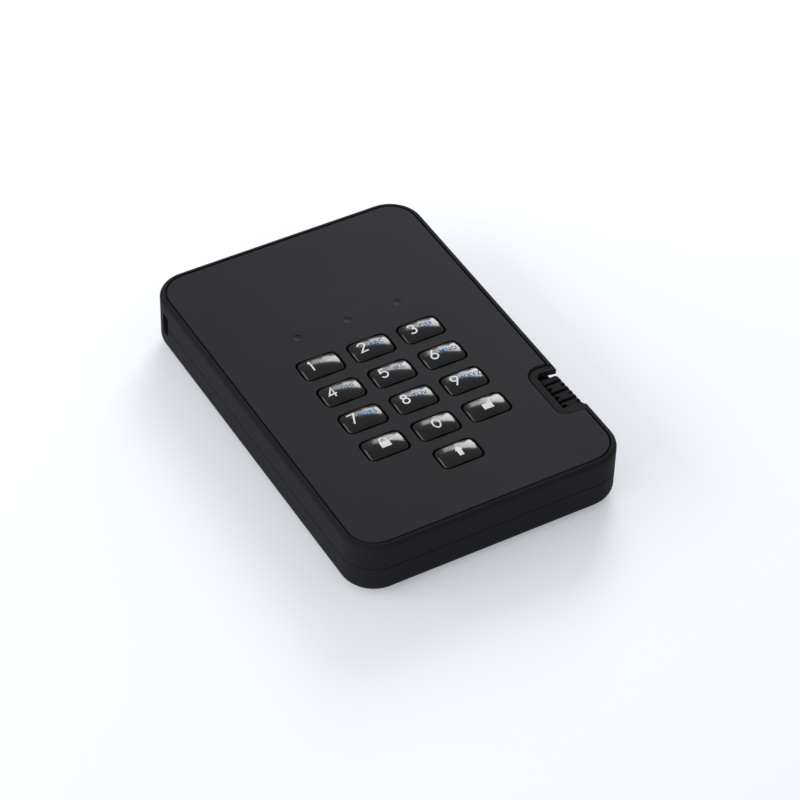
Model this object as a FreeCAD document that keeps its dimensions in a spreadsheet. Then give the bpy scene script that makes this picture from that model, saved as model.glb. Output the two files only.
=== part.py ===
import FreeCAD, Part
import Sketcher
import math
import os

# Encrypted external solid state drive: a keypad-locked box with its lead stowed in the right side.
# Millimetres. X runs across, Y towards the far end of the keypad, Z up from the floor.
# The origin lies on the floor under the middle of the case.

# Driving sizes, in millimetres
SIZES = {
    # Case: its outside, its walls and the joint between its two halves
    "case_width": 84.0,
    "case_length": 124.0,
    "case_height": 17.6,  # both halves together
    "corner_radius": 10.0,  # upright corners
    "bottom_round": 3.5,
    "top_round": 1.4,
    "wall": 1.8,
    "floor": 1.6,
    "hall_round": 1.0,  # small corners of the inside
    "parting": 9.3,  # joint above the case's underside
    "seam_chamfer": 0.25,
    "tongue_width": 0.8,  # tongue on the lower half
    "tongue_height": 1.0,
    "tongue_gap": 0.1,
    # Face panel and the recess it lies in
    "rim_width": 1.55,  # rim of the case round the panel
    "groove_width": 0.45,  # groove between rim and panel
    "panel_thickness": 1.0,
    "panel_chamfer": 0.2,
    "adhesive": 0.15,
    "adhesive_margin": 0.4,  # adhesive kept back from the panel's edges
    "deck": 1.95,  # top of the case under the panel
    # Notch in the right side and the lead's channel under it
    "notch_inset": 21.0,  # notch from the case's near end
    "notch_length": 20.5,
    "notch_slant": 6.0,  # degrees, ends of the notch
    "lip_width": 2.5,  # groove and sunk lip round the notch
    "lip_drop": 0.5,
    "mouth_near_round": 0.4,
    "mouth_far_round": 1.9,
    "mouth_slant": 9.0,  # degrees, far end of the mouth
    "mouth_flare": 3.0,  # rounds where the notch meets the case's side
    "mouth_edge": 0.5,
    "channel_depth": 7.0,  # channel in from the case's side
    "channel_wall": 1.2,
    "channel_inset": 6.0,  # channel from the case's far end
    "channel_roof": 1.05,  # deck left over the channel
    "channel_round": 1.5,
    "anchor_wall": 4.0,  # wall that holds the boot
    # Keypad
    "key_width": 12.35,
    "key_length": 7.7,
    "key_gap": 0.45,  # gap round a key
    "key_radius": 1.7,  # upright corners
    "key_pitch_x": 16.0,
    "key_pitch_y": 12.0,
    "keypad_x": 0.5,  # middle column
    "keypad_inset": 21.5,  # lowest key from the case's near end
    "key_rise": 1.15,  # key's crown above the panel
    "key_edge": 1.2,  # round on a key's upper edge
    "crown_along": 12.0,  # curve of a key's top, front to back
    "crown_across": 28.0,  # curve of a key's top, side to side
    "flange_margin": 0.6,  # flange beyond the key's opening
    "flange_thickness": 0.8,
    # Silicone sheet with a dome under each key
    "sheet_thickness": 0.5,
    "sheet_margin": 5.6,  # sheet beyond the outer keys' middles
    "sheet_round": 1.5,
    "dome_base": 3.9,  # outer radius at the foot
    "dome_top": 2.4,  # outer radius at the top
    "dome_wall": 0.5,
    "dome_roof": 0.9,  # solid top
    "dome_floor": 0.2,  # sheet left inside the dome's foot
    # Status windows and their lamps
    "pipe_row": 13.4,  # windows beyond the far row of keys
    "pipe_radius": 0.95,
    "pipe_ledge": 0.25,  # head wider than the stem, all round
    "pipe_play": 0.06,
    "pipe_sink": 0.1,  # head below the panel's face
    "pipe_dish": 0.22,  # hollow in the head
    "lamp_width": 1.6,
    "lamp_length": 0.8,
    "lamp_height": 0.7,
    "lamp_gap": 0.15,  # light pipe above its lamp
    # Circuit board, its screws and its chips
    "board_drop": 2.8,  # board below the deck
    "board_thickness": 1.2,
    "board_left_gap": 2.2,
    "board_right_gap": 1.3,
    "board_front_gap": 5.5,
    "board_back_gap": 3.2,
    "board_round": 1.5,
    "lock_room_width": 7.0,  # board cut away for a lock
    "lock_room_front": 6.5,
    "boss_radius": 2.75,
    "boss_inset": 4.0,  # left bosses in from the board's edges
    "boss_right_inset": 5.0,
    "boss_near_inset": 3.0,
    "boss_far_inset": 3.0,
    "boss_header_gap": 6.0,  # near right boss from the lead's header
    "screw_radius": 0.95,
    "screw_head_radius": 1.9,
    "screw_head": 1.1,
    "screw_play": 0.08,
    "pilot_spare": 0.5,  # pilot hole beyond the screw
    "board_hole_play": 0.25,
    "chip_height": 0.9,
    "chip_row": 3.6,  # chips beyond the status windows
    "chip_reach": 20.7,  # chips start left of the keypad's middle
    "chip_gap": 4.0,
    "bridge_size": 9.0,
    "secure_size": 7.0,
    "firmware_width": 5.0,
    "firmware_length": 6.0,
    "crystal_width": 3.2,
    "crystal_length": 2.5,
    "inductor_size": 4.0,
    "inductor_height": 1.1,
    # Lock slot and its steel plate
    "lock_from_corner": 1.0,  # slot's middle from the far left corner's round
    "lock_lift": 0.7,  # slot's middle above the joint
    "lock_width": 3.0,
    "lock_height": 7.0,
    "lock_radius": 0.6,
    "plate_thickness": 1.0,
    "plate_margin": 1.1,  # plate beyond the slot
    "plate_play": 0.2,
    # Feet
    "foot_height": 0.9,
    "foot_radius": 4.5,
    "foot_sink": 0.5,
    "foot_play": 0.1,
    "foot_round": 0.3,
    "foot_side_inset": 12.0,
    "foot_end_inset": 13.0,
    # Solid state drive between its cushions
    "damper": 1.975,  # cushion beside the drive
    "damper_play": 0.1,
    "damper_height": 4.0,
    "damper_length": 18.0,
    "damper_foot": 5.0,  # cushion under the drive
    "damper_inset": 17.0,  # cushions' middles from the drive's ends
    "damper_anchor_gap": 1.5,
    "ssd_front_gap": 5.4,
    "ssd_back_gap": 15.0,
    "ssd_rest": 0.4,  # cushion's thickness under the drive
    "ssd_clear": 1.5,  # drive below the board
    "ssd_round": 1.5,
    "tray_wall": 1.2,
    "tray_floor": 0.8,
    "tray_round": 1.0,
    "lid": 0.8,
    "rib_height": 1.3,
    "rib_width": 2.0,
    "rib_inset": 6.0,
    "ssd_board": 0.8,
    "ssd_board_gap": 0.8,
    "ssd_board_length": 54.0,
    "ssd_chip": 1.2,
    "controller_size": 14.0,
    "controller_inset": 15.0,  # from the drive's connector
    "memory_width": 14.0,
    "memory_length": 18.0,
    "memory_inset": 37.0,
    "memory_offset": 20.0,  # each side of the drive's middle
    # Connector between drive and board
    "plug_offset": 0.8,  # left of the drive's middle
    "plug_width": 36.0,
    "plug_length": 5.4,
    "plug_drop": 1.2,  # below the drive's lid
    "plug_play": 0.2,
    "mouth_side": 0.8,
    "mouth_height": 1.8,
    "mouth_depth": 4.4,
    "blade_play": 0.25,
    "socket_side": 1.0,
    "socket_length": 6.0,
    "socket_gap": 0.2,
    # Boot of the lead
    "boot_drop": 1.0,  # boot below the top of the case
    "boot_gap": 0.2,  # boot from the channel's near end
    "boot_side_gap": 0.15,
    "boot_height": 8.1,
    "tip_gap": 1.8,  # boot's tip from the notch's far lip
    "tip_narrow": 0.4,  # boot's tip narrower than its foot
    "tip_height": 7.3,
    "boot_round": 1.3,
    "tip_round": 1.1,
    "slot_width": 1.1,
    "slot_pitch": 3.9,
    "slot_start": 2.9,
    "slot_core": 1.5,  # core left between the slots
    "slot_reach": 6.0,
    "neck_width": 3.2,
    "neck_play": 0.1,
    "neck_drop": 0.2,  # neck below the deck
    "neck_round": 0.5,
    "tab_thickness": 1.8,
    "tab_gap": 0.6,
    # Lead and its tail inside the case
    "lead_radius": 2.2,
    "lead_straight": 3.0,
    "wire_radius": 1.15,
    "wire_lift": 0.2,
    "wire_bend": 5.0,
    "wire_straight": 1.2,
    "wire_run": 3.0,
    "header_width": 6.5,
    "header_length": 4.8,
    "header_height": 2.6,
    # Plug of the lead
    "plug_end_gap": 1.4,  # plug from the channel's far end
    "grip_length": 24.0,
    "grip_side_gap": 0.2,
    "grip_clear": 0.3,  # grip from floor and roof of the channel
    "grip_round": 1.6,
    "grip_nose": 1.2,
    "ridge_start": 6.0,
    "ridge_width": 1.0,
    "ridge_depth": 0.4,
    "ridge_inset": 2.0,
    "ridge_pitch": 2.2,
    "shell_width": 4.5,
    "shell_height": 12.0,
    "shell_length": 18.6,
    "shell_sink": 6.0,  # metal shell inside the grip
    "shell_wall": 0.35,
    "shell_round": 0.6,
    "window_place": 9.2,
    "window_offset": 2.9,
    "window_width": 2.4,
    "window_height": 2.0,
    "plug_tongue": 1.85,
    "tongue_side_play": 0.05,
    "tongue_end_play": 0.1,
    "tongue_short": 0.6,  # tongue short of the shell's mouth
    "contact_thickness": 0.15,
    "contact_width": 1.0,
    "contact_start": 1.6,
    "contact_length": 7.4,
    "contact_inner": 1.0,  # inner pair from the plug's middle
    "contact_outer": 3.5,
    "spring_thickness": 0.3,
    "spring_width": 0.7,
    "spring_start": 10.4,
    "spring_length": 2.6,
    "spring_pitch": 2.0,
}

doc = FreeCAD.newDocument("encrypted_drive")
dim = doc.addObject("Spreadsheet::Sheet", "dim")
for row, (alias, value) in enumerate(SIZES.items(), 1):
    dim.set(f"A{row}", alias)
    dim.set(f"B{row}", str(value))
    dim.setAlias(f"B{row}", alias)
dim.recompute()
subparts = []
gauge = doc.addObject("PartDesign::Body", "gauge")


def number(expression):
    """Present value of an expression on the sheet's sizes."""
    return float(gauge.evalExpression(expression))


def new_body(label, x="0", y="0", z="0"):
    """A sub-part with its own frame, placed by expressions."""
    body = doc.addObject("PartDesign::Body", label)
    body.Label = label
    body.setExpression("Placement.Base.x", x)
    body.setExpression("Placement.Base.y", y)
    body.setExpression("Placement.Base.z", z)
    subparts.append(body)
    return body


def new_sketch(body, name, plane, offset):
    """An empty sketch parallel to one of the body's own planes."""
    sketch = body.newObject("Sketcher::SketchObject", name)
    support = next(f for f in body.Origin.OriginFeatures if f.Role == plane)
    sketch.AttachmentSupport = [(support, "")]
    sketch.MapMode = "FlatFace"
    sketch.setExpression("AttachmentOffset.Base.z", offset)
    return sketch


def bind(sketch, expression, kind, *items):
    """A measured constraint that follows an expression."""
    index = sketch.addConstraint(Sketcher.Constraint(kind, *items, number(expression)))
    sketch.setExpression(f"Constraints[{index}]", expression)


def tie(sketch, kind, *items):
    """A constraint without a measure."""
    sketch.addConstraint(Sketcher.Constraint(kind, *items))


def outline(sketch, sides, rounds=None):
    """A closed outline of level and upright lines in turn, rounded at its corners.

    The first side is a level line, given by its height in the sketch, the next an upright line,
    given by its distance across, and so on. A level side that slants is given by a pair, its
    heights at the corners where it starts and ends. Rounds is one radius for all corners, or a
    list of the radius after each side, None where the corner is sharp."""
    total = len(sides)
    radii = rounds if isinstance(rounds, list) else [rounds for side in sides]
    first = sketch.GeometryCount
    ends = [side if isinstance(side, tuple) else (side, side) for side in sides]
    corner = []
    for i in range(total):
        one, other = number(ends[i][1]), number(ends[(i + 1) % total][0])
        across, height = (other, one) if i % 2 == 0 else (one, other)
        corner.append(FreeCAD.Vector(across, height, 0))
    heading = [(corner[i] - corner[i - 1]).normalize() for i in range(total)]
    radius = [0 if r is None else number(r) for r in radii]
    trim = [radius[i] * math.tan(heading[i].getAngle(heading[(i + 1) % total]) / 2) for i in range(total)]
    for i in range(total):
        begin = corner[i - 1] + heading[i] * trim[i - 1]
        end = corner[i] - heading[i] * trim[i]
        sketch.addGeometry(Part.LineSegment(begin, end))
    for i in range(total):
        here = first + i
        if ends[i][0] == ends[i][1]:
            level = i % 2 == 0
            tie(sketch, "Horizontal" if level else "Vertical", here)
            bind(sketch, sides[i], "DistanceY" if level else "DistanceX", -1, 1, here, 1)
            continue
        for k, beside in ((0, i - 1), (1, (i + 1) % total)):
            if radii[i - 1 + k] is None:
                bind(sketch, ends[i][k], "DistanceY", -1, 1, here, k + 1)
                continue
            spot = sketch.addGeometry(Part.Point(corner[i - 1 + k]), True)
            bind(sketch, sides[beside], "DistanceX", -1, 1, spot, 1)
            bind(sketch, ends[i][k], "DistanceY", -1, 1, spot, 1)
            tie(sketch, "PointOnObject", spot, 1, here)
    for i in range(total):
        here = first + i
        following = first + (i + 1) % total
        if radii[i] is None:
            tie(sketch, "Coincident", here, 2, following, 1)
            continue
        onward = heading[(i + 1) % total]
        leave = corner[i] - heading[i] * trim[i]
        meet = corner[i] + onward * trim[i]
        centre = leave + (onward - heading[i] * heading[i].dot(onward)).normalize() * radius[i]
        middle = centre + (corner[i] - centre).normalize() * radius[i]
        arc = sketch.addGeometry(Part.Arc(leave, middle, meet))
        start = 1 if sketch.getPoint(arc, 1).isEqual(leave, 1e-6) else 2
        tie(sketch, "Tangent", here, 2, arc, start)
        tie(sketch, "Tangent", arc, 3 - start, following, 1)
        bind(sketch, radii[i], "Radius", arc)
    return sketch


def rectangle(sketch, across, along, width, length, radius=None):
    """A rectangle about a middle point, with four equal rounds or none."""
    sides = [f"{along} - ({length}) / 2", f"{across} + ({width}) / 2",
             f"{along} + ({length}) / 2", f"{across} - ({width}) / 2"]
    return outline(sketch, sides, radius)


def circle(sketch, across, along, radius):
    """A circle about a bound middle point."""
    middle = FreeCAD.Vector(number(across), number(along), 0)
    index = sketch.addGeometry(Part.Circle(middle, FreeCAD.Vector(0, 0, 1), number(radius)))
    if number(across) == 0 and number(along) == 0:
        tie(sketch, "Coincident", index, 3, -1, 1)
    else:
        bind(sketch, across, "DistanceX", -1, 1, index, 3)
        bind(sketch, along, "DistanceY", -1, 1, index, 3)
    bind(sketch, radius, "Radius", index)
    return sketch


def profile(sketch, points):
    """A closed outline of straight lines through bound points, all right of or on the upright axis."""
    total = len(points)
    first = sketch.GeometryCount
    place = [FreeCAD.Vector(number(a), number(b), 0) for a, b in points]
    for i in range(total):
        sketch.addGeometry(Part.LineSegment(place[i], place[(i + 1) % total]))
    for i in range(total):
        tie(sketch, "Coincident", first + i, 2, first + (i + 1) % total, 1)
        if place[i].x == 0:
            tie(sketch, "PointOnObject", first + i, 1, -2)
        else:
            bind(sketch, points[i][0], "DistanceX", -1, 1, first + i, 1)
        bind(sketch, points[i][1], "DistanceY", -1, 1, first + i, 1)
    return sketch


def feature(body, kind, sketch, length, reverse=False, both=False, taper=None):
    """A pad or a pocket of a sketch."""
    made = body.newObject(f"PartDesign::{kind}", f"{sketch.Name}_{kind.lower()}")
    made.Profile = sketch
    made.setExpression("Length", length)
    made.Reversed = reverse
    if both:
        made.SideType = "Symmetric"
    if taper:
        made.setExpression("TaperAngle", taper)
    sketch.Visibility = False
    return made


def pad(body, sketch, length, **options):
    return feature(body, "Pad", sketch, length, **options)


def pocket(body, sketch, length, **options):
    return feature(body, "Pocket", sketch, length, **options)


def turned(body, kind, sketch):
    """A full turn of a sketch about its upright axis, added or cut away."""
    made = body.newObject(f"PartDesign::{kind}", f"{sketch.Name}_{kind.lower()}")
    made.Profile = sketch
    made.ReferenceAxis = (sketch, ["V_Axis"])
    made.Angle = 360
    return made


def swept(body, ring, path):
    """A round section carried along a path."""
    made = body.newObject("PartDesign::AdditivePipe", f"{path.Name}_pipe")
    made.Profile = ring
    made.Spine = path
    return made


def edge_work(body, kind, base, amount, wanted):
    """Round or chamfer those edges of a feature that a test picks out."""
    doc.recompute()
    names = [f"Edge{i}" for i, edge in enumerate(base.Shape.Edges, 1) if wanted(edge.BoundBox)]
    made = body.newObject(f"PartDesign::{kind}", f"{body.Name}_{kind.lower()}")
    made.Base = (base, names)
    made.setExpression("Radius" if kind == "Fillet" else "Size", amount)
    return made


def level_at(height):
    """Test for an edge that lies level at a height."""
    place = number(height)
    return lambda box: abs(box.ZMin - place) < 0.001 and abs(box.ZMax - place) < 0.001


def repeated(body, made, sketch, axis, step, times, back=False):
    """A row of copies of some features, along one of a sketch's axes."""
    row = body.newObject("PartDesign::LinearPattern", f"{made[0].Name}_row")
    row.Originals = made
    row.Direction = (sketch, [axis])
    row.Mode = "Spacing"
    row.setExpression("Offset", step)
    row.Occurrences = times
    row.Reversed = back
    body.Tip = row
    return row


def block(label, left, right, front, back, low, high, listed=True):
    """A plain rectangular piece between six bound planes."""
    box = doc.addObject("Part::Box", label)
    box.Label = label
    box.setExpression("Length", f"({right}) - ({left})")
    box.setExpression("Width", f"({back}) - ({front})")
    box.setExpression("Height", f"({high}) - ({low})")
    box.setExpression("Placement.Base.x", left)
    box.setExpression("Placement.Base.y", front)
    box.setExpression("Placement.Base.z", low)
    if listed:
        subparts.append(box)
    return box


def group(label, members):
    """Several loose pieces kept as one sub-part."""
    made = doc.addObject("Part::Compound", label)
    made.Label = label
    made.Links = members
    subparts.append(made)


# Heights and planes that several pieces share
case_side = "(dim.case_width / 2)"
case_end = "(dim.case_length / 2)"
case_top = "(dim.foot_height + dim.case_height)"
seam_z = "(dim.foot_height + dim.parting)"
tongue_z = f"({seam_z} + dim.tongue_height)"
floor_z = "(dim.foot_height + dim.floor)"
panel_z = f"({case_top} - dim.panel_thickness)"
deck_top = f"({panel_z} - dim.adhesive)"
deck_z = f"({deck_top} - dim.deck)"
roof_z = f"({deck_top} - dim.channel_roof)"
board_top = f"({deck_z} - dim.board_drop)"
board_low = f"({board_top} - dim.board_thickness)"
inner_x = f"({case_side} - dim.wall)"
inner_y = f"({case_end} - dim.wall)"
inner_round = "(dim.corner_radius - dim.wall)"
outside = f"({case_side} + dim.corner_radius)"

# Notch and channel
notch_front = f"(-{case_end} + dim.notch_inset)"
notch_back = f"({notch_front} + dim.notch_length)"
channel_x = f"({case_side} - dim.channel_depth)"
notch_x = f"({channel_x} - dim.lip_width)"
notch_near_round = "(dim.mouth_near_round + dim.lip_width)"
notch_far_round = "(dim.mouth_far_round + dim.lip_width)"
channel_front = f"({notch_front} + dim.lip_width)"
mouth_back = f"({notch_back} - dim.lip_width)"
channel_back = f"({case_end} - dim.channel_inset)"
beyond_flare = f"({channel_front} - 2 * dim.mouth_flare)"
hall_x = f"({channel_x} - dim.channel_wall)"
anchor_y = f"({channel_front} - dim.anchor_wall)"
lead_x = f"({case_side} - dim.channel_depth / 2)"

# Keypad, status windows and lock slot
key_row_y = f"(-{case_end} + dim.keypad_inset + 4 * dim.key_pitch_y)"
pipe_y = f"({key_row_y} + dim.pipe_row)"
pipe_head = "(dim.pipe_radius + dim.pipe_ledge)"
lock_y = f"({case_end} - dim.corner_radius - dim.lock_from_corner)"
lock_z = f"({seam_z} + dim.lock_lift)"

# Tail of the lead, and its header on the board
wire_start = f"({anchor_y} - dim.neck_play - dim.tab_thickness)"
wire_y = f"({wire_start} - dim.wire_straight - dim.wire_bend)"
header_right = f"({lead_x} - dim.wire_bend - dim.wire_run)"
header_left = f"({header_right} - dim.header_width)"

# Board's edges and the screw bosses over it
board_left = f"(-{inner_x} + dim.board_left_gap)"
board_right = f"({hall_x} - dim.board_right_gap)"
board_front = f"(-{inner_y} + dim.board_front_gap)"
board_back = f"({inner_y} - dim.board_back_gap)"
lock_room_x = f"({board_left} + dim.lock_room_width)"
lock_room_y = f"({lock_y} - dim.lock_room_front)"
boss_near = f"{board_front} + dim.boss_near_inset"
boss_far = f"{board_back} - dim.boss_far_inset"
boss_places = [(f"{board_left} + dim.boss_inset", boss_near),
               (f"{header_left} - dim.boss_header_gap", boss_near),
               (f"{lock_room_x} + dim.boss_inset", boss_far),
               (f"{board_right} - dim.boss_right_inset", boss_far)]


def key_place(column, row):
    """Middle of a key, from its column right of the middle one and its row below the far one."""
    return f"dim.keypad_x + {column} * dim.key_pitch_x", f"{key_row_y} - {row} * dim.key_pitch_y"


def hall_outline(sketch):
    """Inside of the case: a full-width part at the front, and the rest beside the lead's channel."""
    sides = [f"-{inner_y}", inner_x, anchor_y, hall_x, inner_y, f"-{inner_x}"]
    return outline(sketch, sides, [inner_round, "dim.hall_round", "dim.hall_round", "2 * dim.hall_round",
                                   inner_round, inner_round])


def channel_outline(sketch):
    """Lead's channel, open at the case's side and flared at its near end."""
    sides = [beyond_flare, outside, channel_back, channel_x, channel_front, case_side]
    return outline(sketch, sides, [None, None, "dim.channel_round", "dim.mouth_near_round",
                                   "dim.mouth_flare", None])


def notch_end(height, across):
    """Where an end of the notch lies at a distance across, from where its inner corner lies."""
    return f"({height} - tan(dim.notch_slant) * ({across} - {notch_x}))"


def lip_outline(sketch, reach):
    """Lip of the notch within its groove, out to a distance across."""
    inner = f"({notch_x} + dim.groove_width)"
    near = f"({notch_front} + dim.groove_width)"
    far = f"({notch_back} - dim.groove_width)"
    sides = [(notch_end(near, inner), notch_end(near, reach)), reach,
             (notch_end(far, reach), notch_end(far, inner)), inner]
    return outline(sketch, sides, [None, None, f"{notch_far_round} - dim.groove_width",
                                   f"{notch_near_round} - dim.groove_width"])


def lock_outline(sketch):
    """Lock slot through the left side."""
    return rectangle(sketch, lock_y, lock_z, "dim.lock_width", "dim.lock_height", "dim.lock_radius")


def key_openings(body, name, height, depth, margin):
    """Openings for the thirteen keys through a sheet, cut downwards from a height."""
    width = f"dim.key_width + 2 * (dim.key_gap + {margin})"
    length = f"dim.key_length + 2 * (dim.key_gap + {margin})"
    radius = f"dim.key_radius + dim.key_gap + {margin}"
    grid = new_sketch(body, f"{name}_keys", "XY_Plane", height)
    for column in (-1, 0, 1):
        rectangle(grid, *key_place(column, 0), width, length, radius)
    cut = pocket(body, grid, depth)
    repeated(body, [cut], grid, "V_Axis", "dim.key_pitch_y", 4, back=True)
    last = new_sketch(body, f"{name}_shift", "XY_Plane", height)
    rectangle(last, *key_place(0, 4), width, length, radius)
    body.Tip = pocket(body, last, depth)


def pipe_openings(body, name, height, depth, radius):
    """Openings for the three light pipes through a sheet."""
    holes = new_sketch(body, f"{name}_pipes", "XY_Plane", height)
    for column in (-1, 0, 1):
        circle(holes, key_place(column, 0)[0], pipe_y, radius)
    pocket(body, holes, depth)


# Lower half of the case: floor, walls, tongue, lower part of the channel, seats for the feet
lower = new_body("lower_shell")
base = new_sketch(lower, "lower_outline", "XY_Plane", "dim.foot_height")
rectangle(base, "0", "0", "dim.case_width", "dim.case_length", "dim.corner_radius")
solid = pad(lower, base, "dim.parting")
solid = edge_work(lower, "Fillet", solid, "dim.bottom_round", level_at("dim.foot_height"))
solid = edge_work(lower, "Chamfer", solid, "dim.seam_chamfer", level_at(seam_z))
step = new_sketch(lower, "lower_tongue", "XY_Plane", seam_z)
inset = "2 * (dim.wall - dim.tongue_width)"
rectangle(step, "0", "0", f"dim.case_width - {inset}", f"dim.case_length - {inset}",
          f"{inner_round} + dim.tongue_width")
pad(lower, step, "dim.tongue_height")
hall = hall_outline(new_sketch(lower, "lower_hall", "XY_Plane", tongue_z))
pocket(lower, hall, f"{tongue_z} - {floor_z}")
way = channel_outline(new_sketch(lower, "lower_channel", "XY_Plane", tongue_z))
pocket(lower, way, f"{tongue_z} - {floor_z}")
foot_x = f"({case_side} - dim.foot_side_inset)"
foot_y = f"({case_end} - dim.foot_end_inset)"
seats = new_sketch(lower, "lower_foot_seats", "XY_Plane", "dim.foot_height")
for across in (f"-{foot_x}", foot_x):
    for along in (f"-{foot_y}", foot_y):
        circle(seats, across, along, "dim.foot_radius + dim.foot_play")
pocket(lower, seats, "dim.foot_sink", reverse=True)
slot = lock_outline(new_sketch(lower, "lower_lock", "YZ_Plane", f"-{case_side}"))
pocket(lower, slot, "2 * dim.wall", reverse=True)

# Upper half of the case: rim, recess for the panel, notch with its lip, key openings and screw bosses
upper = new_body("upper_shell")
base = new_sketch(upper, "upper_outline", "XY_Plane", seam_z)
rectangle(base, "0", "0", "dim.case_width", "dim.case_length", "dim.corner_radius")
solid = pad(upper, base, f"{case_top} - {seam_z}")
solid = edge_work(upper, "Fillet", solid, "dim.top_round", level_at(case_top))
solid = edge_work(upper, "Chamfer", solid, "dim.seam_chamfer", level_at(seam_z))
hall = hall_outline(new_sketch(upper, "upper_hall", "XY_Plane", deck_z))
pocket(upper, hall, f"{deck_z} - {seam_z}")
step = new_sketch(upper, "upper_rebate", "XY_Plane", f"{tongue_z} + dim.tongue_gap")
inset = "2 * (dim.wall - dim.tongue_width - dim.tongue_gap)"
rectangle(step, "0", "0", f"dim.case_width - {inset}", f"dim.case_length - {inset}",
          f"{inner_round} + dim.tongue_width + dim.tongue_gap")
pocket(upper, step, "dim.tongue_height + dim.tongue_gap")
recess = new_sketch(upper, "upper_recess", "XY_Plane", case_top)
rectangle(recess, "0", "0", "dim.case_width - 2 * dim.rim_width", "dim.case_length - 2 * dim.rim_width",
          "dim.corner_radius - dim.rim_width")
pocket(upper, recess, f"{case_top} - {deck_top}")
lip = lip_outline(new_sketch(upper, "upper_lip", "XY_Plane", deck_top), f"({case_side} - dim.rim_width / 2)")
pad(upper, lip, f"{case_top} - {deck_top}")
scoop = lip_outline(new_sketch(upper, "upper_scoop", "XY_Plane", case_top), outside)
pocket(upper, scoop, "dim.lip_drop")
mouth_corner = f"({mouth_back} - tan(dim.mouth_slant) * dim.channel_depth)"
mouth_sides = [beyond_flare, outside, f"{mouth_back} + 2 * dim.mouth_edge", case_side,
               (mouth_corner, mouth_back), channel_x, channel_front, case_side]
mouth_rounds = [None, None, None, "dim.mouth_edge", "dim.mouth_far_round", "dim.mouth_near_round",
                "dim.mouth_flare", None]
mouth = outline(new_sketch(upper, "upper_mouth", "XY_Plane", case_top), mouth_sides, mouth_rounds)
pocket(upper, mouth, f"{case_top} - {roof_z}")
way = channel_outline(new_sketch(upper, "upper_channel", "XY_Plane", roof_z))
pocket(upper, way, f"{roof_z} - {seam_z}")
key_openings(upper, "upper", deck_top, "dim.deck", "0")
pipe_openings(upper, "upper", deck_top, "dim.deck", "dim.pipe_radius + dim.pipe_play")
bosses = new_sketch(upper, "upper_bosses", "XY_Plane", deck_z)
for place in boss_places:
    circle(bosses, *place, "dim.boss_radius")
pad(upper, bosses, "dim.board_drop", reverse=True)
pilots = new_sketch(upper, "upper_pilots", "XY_Plane", board_top)
for place in boss_places:
    circle(pilots, *place, "dim.screw_radius + dim.screw_play")
pocket(upper, pilots, "dim.board_drop + dim.pilot_spare", reverse=True)
slot = lock_outline(new_sketch(upper, "upper_lock", "YZ_Plane", f"-{case_side}"))
pocket(upper, slot, "2 * dim.wall", reverse=True)

# Opening in the anchoring wall for the boot's neck
neck_left = f"({lead_x} - dim.neck_width / 2)"
neck_right = f"({lead_x} + dim.neck_width / 2)"
neck_top = f"({deck_z} - dim.neck_drop)"
gate = new_sketch(upper, "upper_gate", "XZ_Plane", f"-{channel_front}")
outline(gate, [seam_z, f"{neck_right} + dim.neck_play", f"{neck_top} + dim.neck_play",
               f"{neck_left} - dim.neck_play"], [None, "dim.neck_round", "dim.neck_round", None])
pocket(upper, gate, "dim.anchor_wall + dim.wall", reverse=True)

# Face panel, cut back round the notch, with its openings
panel = new_body("face_panel")
edge = "(dim.rim_width + dim.groove_width)"
panel_round = f"dim.corner_radius - {edge}"
panel_x = f"({case_side} - {edge})"
panel_sides = [f"-({case_end} - {edge})", panel_x, (notch_end(notch_front, panel_x), notch_front), notch_x,
               (notch_back, notch_end(notch_back, panel_x)), panel_x, f"{case_end} - {edge}", f"-{panel_x}"]
panel_rounds = [panel_round, None, notch_near_round, notch_far_round, None, panel_round, panel_round,
                panel_round]
sheet = outline(new_sketch(panel, "panel_outline", "XY_Plane", panel_z), panel_sides, panel_rounds)
solid = pad(panel, sheet, "dim.panel_thickness")
edge_work(panel, "Chamfer", solid, "dim.panel_chamfer", level_at(case_top))
key_openings(panel, "panel", case_top, "dim.panel_thickness", "0")
pipe_openings(panel, "panel", case_top, "dim.panel_thickness", f"{pipe_head} + dim.pipe_play")

# Adhesive sheet under the panel, kept back from the edges and the openings
glue = new_body("panel_adhesive")
glue_edge = f"({edge} + dim.adhesive_margin)"
glue_round = f"dim.corner_radius - {glue_edge}"
glue_x = f"({case_side} - {glue_edge})"
glue_inner = f"({notch_x} - dim.adhesive_margin)"
glue_near = f"({notch_front} - dim.adhesive_margin)"
glue_far = f"({notch_back} + dim.adhesive_margin)"
glue_sides = [f"-({case_end} - {glue_edge})", glue_x,
              (notch_end(glue_near, glue_x), notch_end(glue_near, glue_inner)), glue_inner,
              (notch_end(glue_far, glue_inner), notch_end(glue_far, glue_x)), glue_x,
              f"{case_end} - {glue_edge}", f"-{glue_x}"]
glue_rounds = [glue_round, None, notch_near_round, notch_far_round, None, glue_round, glue_round, glue_round]
sheet = outline(new_sketch(glue, "glue_outline", "XY_Plane", deck_top), glue_sides, glue_rounds)
pad(glue, sheet, "dim.adhesive")
key_openings(glue, "glue", panel_z, "dim.adhesive", "dim.adhesive_margin")
pipe_openings(glue, "glue", panel_z, "dim.adhesive", f"{pipe_head} + dim.adhesive_margin")


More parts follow.
